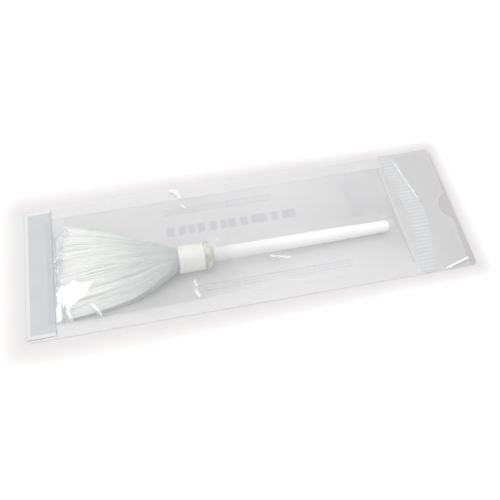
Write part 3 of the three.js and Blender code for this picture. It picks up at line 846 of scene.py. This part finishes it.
def tuft():
    glass = fibre_material()
    for layer, (layer_name, count) in enumerate(FIBRES_PER_LAYER.items()):
        for column in range(STRANDS_ACROSS):
            place = f"{layer_name}_{column + 1}"
            made = bundle(f"fibres_{place}", column, layer, count, glass)
            stand_for(made, f"roving_{place}", "brush")


# ---------------------------------------------------------------- stem


def lumpy(distance, reach, angle):
    lump = 0.35 * np.sin(2 * angle + 0.7) + 0.22 * np.sin(5 * angle + distance)
    outer = smooth((reach - COLLAR_RADIUS + 0.6) / 1.0)
    slump = 0.35 * np.sin(3 * angle + 1.0) * smooth((distance - COLLAR_LENGTH - 2) / 3)
    return distance + slump * outer, reach + (lump - 0.45) * outer


def trimmed(distance, reach, angle):
    """The sleeve is cut a little out of square at its front."""
    front = 1 - smooth(distance / 4.0)
    skew = 0.35 * np.cos(angle - 0.6) + 0.12 * np.sin(3 * angle)
    oval = 0.06 * np.sin(2 * angle)
    return distance + (0.4 + skew) * front, reach + oval


def stem(handle_plastic, collar_plastic, glue):
    end = HANDLE_END
    taper, rounding = 40.0, 2.2
    arc = np.linspace(0, math.pi / 2, 9)
    handle_profile = [
        (HANDLE_START, 0.0),
        (HANDLE_START, HANDLE_RADIUS - 0.5),
        (HANDLE_START + 0.5, HANDLE_RADIUS),
        *[(d, HANDLE_RADIUS) for d in np.linspace(10, end - taper, 12)],
        *[
            (d, lerp(HANDLE_RADIUS, HANDLE_TIP_RADIUS, smooth((d - end + taper) / (taper - 3))))
            for d in np.linspace(end - taper + 2, end - rounding, 10)[:-1]
        ],
        *[
            (
                end - rounding + rounding * math.sin(a),
                HANDLE_TIP_RADIUS - rounding + rounding * math.cos(a),
            )
            for a in arc
        ],
        (end, 0.0),
    ]
    handle_profile = [(d, max(r, 0.02)) for d, r in handle_profile]
    handle = turned("handle_rod", handle_profile, 72, handle_plastic)
    stand_for(handle, "handle", "brush")

    rear = COLLAR_LENGTH
    wall = COLLAR_RADIUS
    collar_profile = [
        (0.25, COLLAR_BORE),
        (0.0, COLLAR_BORE + 0.2),
        (0.0, wall - 0.25),
        (0.08, wall - 0.08),
        (0.3, wall),
        *[(d, wall) for d in np.linspace(1.5, rear - 1.5, 10)],
        (rear - 0.3, wall),
        (rear - 0.08, wall - 0.08),
        (rear, wall - 0.3),
        (rear, COLLAR_BORE),
        (0.25, COLLAR_BORE),
    ]
    collar = turned("sleeve", collar_profile, 96, collar_plastic, trimmed)
    stand_for(collar, "collar", "brush")

    hole = HANDLE_RADIUS + 0.12
    start = HANDLE_START + 0.6
    bulge = rear + 0.12
    glue_profile = [
        (start, hole),
        (start, COLLAR_BORE - 0.3),
        (bulge, COLLAR_BORE - 0.3),
        (bulge, BEAD_RADIUS - 1.1),
        (bulge + 0.25, BEAD_RADIUS - 0.5),
        (bulge + 0.8, BEAD_RADIUS - 0.12),
        (BEAD_MIDDLE - 0.5, BEAD_RADIUS),
        (BEAD_MIDDLE + 0.5, BEAD_RADIUS - 0.12),
        (BEAD_MIDDLE + 1.3, BEAD_RADIUS - 0.7),
        (BEAD_MIDDLE + 2.1, BEAD_RADIUS - 1.8),
        (BEAD_MIDDLE + 2.7, BEAD_RADIUS - 3.0),
        (rear + BEAD_LENGTH, hole + 0.35),
        (rear + BEAD_LENGTH, hole),
        (start, hole),
    ]
    bead = turned("glue_lump", glue_profile, 96, glue, lumpy)
    stand_for(bead, "glue_bead", "brush")


# ---------------------------------------------------------------- film

LID_STEPS_X = 259
LID_STEPS_Y = 100
SEAL_STEPS = 5
# The film's clearance over the brush, and how hard it is drawn down between supports.
FILM_GAP = 0.3
FILM_LOAD = 0.008
# It clears the brush at each of these slides, which cover all of brush_slide.
SLIDES = (-1.0, -0.5, 0.0, 0.5, 1.0, 1.5, 2.0)


def brush_tops():
    """Points on top of the tuft, collar, bead and handle."""
    u = np.linspace(-1, 1, 161)[None, :]
    s = np.arange(0, TUFT_LENGTH + 0.1, 0.4)[:, None]
    fan = tuft_point(s, u, 1.0)[np.broadcast_to(s <= tip_distance(u), (s.size, u.size))]
    along = np.arange(0, HANDLE_END + 0.1, 0.4)[:, None]
    turn = np.linspace(0, math.pi, 41)[None, :]
    rear = COLLAR_LENGTH + BEAD_LENGTH
    radius = np.where(along < rear, BEAD_RADIUS, HANDLE_RADIUS)
    radius = np.where(along < COLLAR_LENGTH, COLLAR_RADIUS, radius)
    x = np.broadcast_to(COLLAR_FRONT_X + along, (along.size, turn.size))
    y = BRUSH_AXIS_Y + along * SLOPE_Y + radius * np.cos(turn)
    z = AXIS_Z + along * SLOPE_Z + radius * np.sin(turn)
    return np.concatenate([fan, np.stack([x, y, z], -1).reshape(-1, 3)])


# Folds that the film's tension draws: from, to, and the film's height at each end.
BEAD_TOP_Z = AXIS_Z + BEAD_MIDDLE * SLOPE_Z + BEAD_RADIUS + FILM_GAP
COLLAR_TOP_Z = AXIS_Z + COLLAR_RADIUS + FILM_GAP
TENSION_FOLDS = [
    ((-25.0, -11.0, BEAD_TOP_Z), (-33.0, SEAL_INNER_Y, SEAL_TOP)),
    ((-26.0, -15.0, BEAD_TOP_Z - 0.6), (-31.0, -SEAL_INNER_Y, SEAL_TOP)),
    ((84.0, -11.0, 6.5), (END_HINGE_X, 6.0, SEAL_TOP)),
    ((COLLAR_FRONT_X - 1, -14.0, COLLAR_TOP_Z), (-62.0, -13.5, 12.6)),
]

# Flat places in the film: a facet where it comes down from the tips to the mouth on the near
# side, and a shelf over the tips on the far side. Each is a plan, then the height above the
# mouth's seal at the mouth and the slope away from it.
FACET = [(-113.0, -12.2), (-106.4, -14.0), (-99.2, -15.9), (-90.2, -18.2), (-92.4, -22.9),
         (-95.1, -26.3), (-102.1, -29.0), (-107.2, -32.3), (-108.6, -36.8), (-113.0, -36.8)]
FACET_RISE, FACET_SLOPE = 1.3, 0.40
SHELF = [(-110.8, -12.6), (-110.8, 18.0), (-105.0, 24.5), (-99.0, 24.5), (-99.0, -11.8)]
SHELF_RISE, SHELF_SLOPE = 3.9, 0.10

# Small sharp wrinkles: from, to, half width and height.
WRINKLES = [
    ((-106.9, -29.4), (-104.6, -37.5), 1.5, 0.60),
    ((-93.4, -29.5), (-88.0, -37.1), 1.5, 0.65),
    ((-35.1, -27.2), (-32.5, -35.8), 1.3, 0.65),
    ((-38.2, -29.5), (-36.6, -33.5), 1.1, 0.50),
    ((-36.8, 36.0), (-40.5, 45.0), 3.0, 1.1),
    ((-33.2, 24.0), (-36.0, 35.0), 1.3, 0.60),
    ((-31.2, 19.5), (-33.0, 25.0), 1.0, 0.40),
    ((7.0, -19.8), (24.5, -23.2), 0.9, 0.35),
    ((-111.6, 6.0), (-110.6, 2.0), 1.0, 0.80),
    ((-111.8, -3.0), (-109.0, -5.5), 1.0, 0.80),
    ((-112.0, -8.0), (-109.0, -10.5), 1.1, 0.90),
    ((88.0, -6.0), (91.0, 14.0), 1.2, 0.30),
]


def raise_line(floor, x_lines, y_lines, start, end):
    for t in np.linspace(0, 1, 400):
        x, y, z = lerp(np.array(start), np.array(end), t)
        i = int(np.clip(np.searchsorted(x_lines, x) - 1, 0, len(x_lines) - 2))
        j = int(np.clip(np.searchsorted(y_lines, y) - 1, 0, len(y_lines) - 2))
        block = floor[i : i + 2, j : j + 2]
        np.maximum(block, z, out=block)


def relax(height, floor, rounds, load, step_x, step_y):
    """Settles a loaded skin on what is under it, by red-black over-relaxation."""
    wx, wy = 1 / step_x**2, 1 / step_y**2
    i, j = np.indices(height.shape)
    inner = np.zeros(height.shape, bool)
    inner[1:-1, 1:-1] = True
    colours = [inner & ((i + j) % 2 == parity) for parity in (0, 1)]
    for _ in range(rounds):
        for colour in colours:
            mean = np.zeros_like(height)
            mean[1:-1, 1:-1] = (
                wx * (height[:-2, 1:-1] + height[2:, 1:-1])
                + wy * (height[1:-1, :-2] + height[1:-1, 2:])
                - load
            ) / (2 * (wx + wy))
            moved = height + 1.85 * (mean - height)
            height = np.where(colour, np.maximum(moved, floor), height)
    return height


def soften(height, floor, passes):
    for _ in range(passes):
        mean = height.copy()
        mean[1:-1, 1:-1] = (
            4 * height[1:-1, 1:-1]
            + height[:-2, 1:-1] + height[2:, 1:-1]
            + height[1:-1, :-2] + height[1:-1, 2:]
        ) / 8
        height = np.maximum(mean, floor)
    return height


def within(polygon, x, y):
    """True at the plan places inside a polygon."""
    inside = np.zeros(x.shape, bool)
    corner = polygon[-1]
    for following in polygon:
        (x0, y0), (x1, y1) = corner, following
        crosses = (y0 > y) != (y1 > y)
        slant = (x1 - x0) / ((y1 - y0) or 1e-9)
        inside ^= crosses & (x < x0 + slant * (y - y0))
        corner = following
    return inside


# Painted highlights along the film's creases, and a wide faint painted glow over the tips: from,
# to, half width and whiteness.
PAINTED_CREASE_HIGHLIGHTS = [
    ((-112.2, -24.0), (-111.6, -37.6), 2.0, 0.85),
    ((-114.0, -11.0), (-88.0, -7.0), 6.0, 0.16),
    ((-106.9, -29.4), (-104.6, -37.3), 0.9, 0.75),
    ((-93.4, -29.8), (-88.0, -37.1), 0.8, 0.75),
    ((-35.1, -27.4), (-33.4, -31.6), 0.7, 0.55),
    ((-35.6, -31.8), (-32.5, -35.8), 0.9, 0.70),
    ((-40.9, 44.4), (-33.9, 41.5), 1.6, 0.75),
    ((-36.8, 42.5), (-33.4, 36.6), 1.4, 0.60),
    ((-34.9, 30.6), (-31.6, 25.2), 0.8, 0.45),
    ((9.0, -20.2), (24.3, -23.2), 0.2, 0.65),
    ((-113.0, 6.4), (-110.6, 3.4), 1.2, 0.75),
    ((-113.1, -3.2), (-110.0, -4.6), 1.1, 0.65),
    ((-113.1, -8.2), (-110.6, -8.8), 0.9, 0.60),
    ((104.6, 44.5), (112.6, 3.2), 0.45, 0.55),
    ((108.4, -45.0), (129.4, -39.3), 0.55, 0.85),
]


def ridge(x, y, start, end, half):
    """A ridge along a line: 1 on its crest, 0 beyond its half width and at both its ends."""
    start, end = np.array(start), np.array(end)
    run = end - start
    t = ((x - start[0]) * run[0] + (y - start[1]) * run[1]) / (run @ run)
    off = (x - start[0]) * run[1] - (y - start[1]) * run[0]
    off = np.abs(off) / np.linalg.norm(run)
    ends = smooth(t / 0.25) * smooth((1 - t) / 0.25)
    return np.clip(1 - off / half, 0, 1) * ends


def wrinkle_relief(x, y):
    return sum(height * ridge(x, y, a, b, half) for a, b, half, height in WRINKLES)


def painted_crease_highlights(x, y):
    marks = [
        white * np.clip(2.2 * ridge(x, y, a, b, half + 0.4), 0, 1)
        for a, b, half, white in PAINTED_CREASE_HIGHLIGHTS
    ]
    return np.max(marks, axis=0)


def lid_heights():
    """Plan lines and the film's underside over them, for the part over the brush."""
    x_lines = np.linspace(LID_HINGE_X, END_HINGE_X, LID_STEPS_X + 1)
    y_lines = np.linspace(-SEAL_INNER_Y, SEAL_INNER_Y, LID_STEPS_Y + 1)
    step_x, step_y = x_lines[1] - x_lines[0], y_lines[1] - y_lines[0]
    floor = np.full((x_lines.size, y_lines.size), SEAL_TOP)
    tops = brush_tops()
    for slide in SLIDES:
        i = np.floor((tops[:, 0] + slide - x_lines[0]) / step_x).astype(int)
        j = np.floor((tops[:, 1] - y_lines[0]) / step_y).astype(int)
        for a, b in ((0, 0), (1, 0), (0, 1), (1, 1)):
            at = (np.clip(i + a, 0, x_lines.size - 1), np.clip(j + b, 0, y_lines.size - 1))
            np.maximum.at(floor, at, tops[:, 2] + FILM_GAP)
    for start, end in TENSION_FOLDS:
        raise_line(floor, x_lines, y_lines, start, end)
    edge = np.ones(floor.shape, bool)
    edge[1:-1, 1:-1] = False
    x, y = plan_grid(x_lines, y_lines)
    base = SEAL_TOP + curl(x, y)
    facet = within(FACET, x, y)
    plane = base[0, 0] + FACET_RISE + FACET_SLOPE * (x - LID_HINGE_X)
    shelf = base[0, 0] + SHELF_RISE + SHELF_SLOPE * (x - LID_HINGE_X)
    floor = np.where(within(SHELF, x, y), np.maximum(floor, shelf), floor)
    clear = floor.copy()
    floor = np.where(facet, np.maximum(floor, plane), floor)
    floor = np.where(edge, base, np.maximum(floor, base))
    height = relax(floor.copy(), floor, 500, FILM_LOAD, step_x, step_y)
    height = soften(height, floor, 8)
    height = np.where(facet, np.maximum(plane, clear), height)
    height = np.where(edge, base, height)
    return x_lines, y_lines, height, floor


def film_sheet(name, node, x, y, low, material):
    made = sheet(name, x, y, low, low + FILM_THICKNESS, material)
    # The painted highlights ride on the film as a point attribute.
    crease_highlight_paint = made.data.attributes.new("crease_highlight_paint", "FLOAT", "POINT")
    crease_highlight_paint.data.foreach_set("value", np.tile(painted_crease_highlights(x, y).ravel(), 2).astype(np.float32))
    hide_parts(node)
    return made


FILM_Y_LINES = np.linspace(-HALF_WIDTH, HALF_WIDTH, 91)
# How far the loose end and the tab lie off what is under them.
LOOSE_GAP = 0.1


def film_mouth(material):
    """The sealed strip at the mouth, under the flap."""
    x, y = plan_grid(np.linspace(SEAL_START_X, LID_HINGE_X, 14), FILM_Y_LINES)
    low = SEAL_TOP + curl(x, y)
    mouth = film_sheet("film_mouth_skin", "film_mouth", x, y, low, material)
    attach(mouth, "pouch")


def film_lid(material):
    """The film over the brush, with its sealed sides."""
    x_lines, y_lines, height, floor = lid_heights()
    strip = np.linspace(SEAL_INNER_Y, HALF_WIDTH, SEAL_STEPS + 1)[1:]
    y_wide = np.concatenate([-strip[::-1], y_lines, strip])
    x, y = plan_grid(x_lines, y_wide)
    low = SEAL_TOP + curl(x, y)
    inside = slice(SEAL_STEPS, SEAL_STEPS + y_lines.size)
    low[:, inside] = height
    under = SEAL_TOP + curl(x, y)
    under[:, inside] = floor
    relief = wrinkle_relief(x, y)
    low[1:-1] = np.maximum(low + relief, under)[1:-1]
    lid = film_sheet("film_lid_skin", "film_lid", x, y, low, material)
    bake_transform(lid)


def film_end(material):
    """The film from the straight seal line to the tab, over the chevron seal."""
    x, y = plan_grid(np.linspace(END_HINGE_X, TAB_HINGE_X, 24), FILM_Y_LINES)
    length = TAB_HINGE_X - END_HINGE_X
    ripple = 0.10 * np.sin(y / 3.1 + x / 7.0) * np.sin(math.pi * (x - x[0, 0]) / length)
    low = SEAL_TOP + LOOSE_GAP + curl(x, y) + ripple
    low[0] -= LOOSE_GAP
    end = film_sheet("film_end_skin", "film_end", x, y, low, material)
    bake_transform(end)


def film_tab(material):
    """The loose tab, with its slanted edge, the bite of the thumb notch and a creased corner."""
    _, high = corners("film_tab")
    near_x, notch_x, notch_y, notch_radius = 125.5, 131.7, -2.0, 10.0
    y_tab = np.unique(np.concatenate([
        FILM_Y_LINES,
        np.linspace(-HALF_WIDTH, -38.0, 50),
        np.linspace(notch_y - notch_radius, notch_y + notch_radius, 90),
    ]))
    edge = near_x + (y_tab + HALF_WIDTH) * (high[0] - near_x) / (2 * HALF_WIDTH)
    bite = np.sqrt(np.clip(notch_radius**2 - (y_tab - notch_y) ** 2, 0, None))
    edge = np.minimum(edge, np.where(bite > 0, notch_x - bite, edge))
    edge = np.minimum(edge, high[0] - np.clip(y_tab - HALF_WIDTH + 3, 0, 3))
    share, y = plan_grid(np.linspace(0, 1, 41), y_tab)
    x = lerp(TAB_HINGE_X, np.broadcast_to(edge, y.shape), share)
    wave = 0.5 * smooth(share) * (0.5 + 0.5 * np.sin(y / 8 + 1))
    low = SEAL_TOP + LOOSE_GAP + curl(x, y) + wave
    crease_x, crease_y, crease_slope = 113.9, -43.8, 0.29
    off_crease = np.abs(y - crease_y - (x - crease_x) * crease_slope)
    low = low + 0.6 * np.clip(1 - off_crease / 1.5, 0, 1) * smooth(share / 0.15)
    tab = film_sheet("film_tab_skin", "film_tab", x, y, low, material)
    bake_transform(tab)


def film(material):
    """One sheet on the real pouch, in four pieces that bend into each other."""
    film_mouth(material)
    film_lid(material)
    film_end(material)
    film_tab(material)


# ---------------------------------------------------------------- studio


def place_camera(scene):
    camera = bpy.data.objects.new("camera", bpy.data.cameras.new("camera"))
    camera.location = Vector(CAMERA_AT) / MM
    camera.rotation_euler = CAMERA_AIM.to_track_quat("-Z", "Y").to_euler()
    camera.data.lens = CAMERA_LENS
    camera.data.sensor_width = 36.0
    camera.data.clip_start = 0.01
    scene.collection.objects.link(camera)
    scene.camera = camera


def light_room(scene):
    """A soft room with a wide bright panel overhead."""
    world = bpy.data.worlds.new("soft_room")
    world.use_nodes = True
    nodes, links = world.node_tree.nodes, world.node_tree.links
    direction = nodes.new("ShaderNodeTexCoord").outputs["Generated"]
    facing = nodes.new("ShaderNodeVectorMath")
    facing.operation = "DOT_PRODUCT"
    facing.inputs[1].default_value = Vector(SKY_PANEL).normalized()
    links.new(direction, facing.inputs[0])
    glow = nodes.new("ShaderNodeMapRange")
    glow.interpolation_type = "SMOOTHSTEP"
    for key, value in zip(("From Min", "From Max", "To Min", "To Max"), SKY_RANGE):
        glow.inputs[key].default_value = value
    links.new(facing.outputs["Value"], glow.inputs["Value"])
    links.new(glow.outputs[0], nodes["Background"].inputs["Strength"])
    nodes["Background"].inputs["Color"].default_value = (1.0, 0.995, 0.99, 1.0)
    scene.world = world


def place_side_lamp(scene):
    """The lamp that the film mirrors near the tips."""
    data = bpy.data.lights.new("side_light", "AREA")
    data.shape = "DISK"
    data.size = SIDE_LIGHT_SIZE
    data.energy = SIDE_LIGHT_POWER
    lamp = bpy.data.objects.new("side_light", data)
    lamp.location = Vector(SIDE_LIGHT).normalized() * SIDE_LIGHT_DISTANCE
    lamp.rotation_euler = (-Vector(SIDE_LIGHT)).to_track_quat("-Z", "Y").to_euler()
    scene.collection.objects.link(lamp)


def studio():
    scene = bpy.context.scene
    scene.view_settings.view_transform = "Standard"
    scene.cycles.transparent_max_bounces = 24
    place_camera(scene)
    light_room(scene)
    place_side_lamp(scene)
    lines = np.linspace(-FLOOR_HALF_WIDTH, FLOOR_HALF_WIDTH, 13)
    x, y = plan_grid(lines, lines)
    floor = sheet("floor", x, y, -20.0, -0.02, floor_material())


# ---------------------------------------------------------------- assembly

studio()
paper_web(paper_material())
seals(seal_material(), ribbed_seal_material())
closure(flap_material(), adhesive_material())
stem(handle_material(), collar_material(), glue_material())
tuft()
film(film_material())

binding = bpy.data.objects["root_binding"]
for place in binding.material_slots:
    place.material = thread_material()
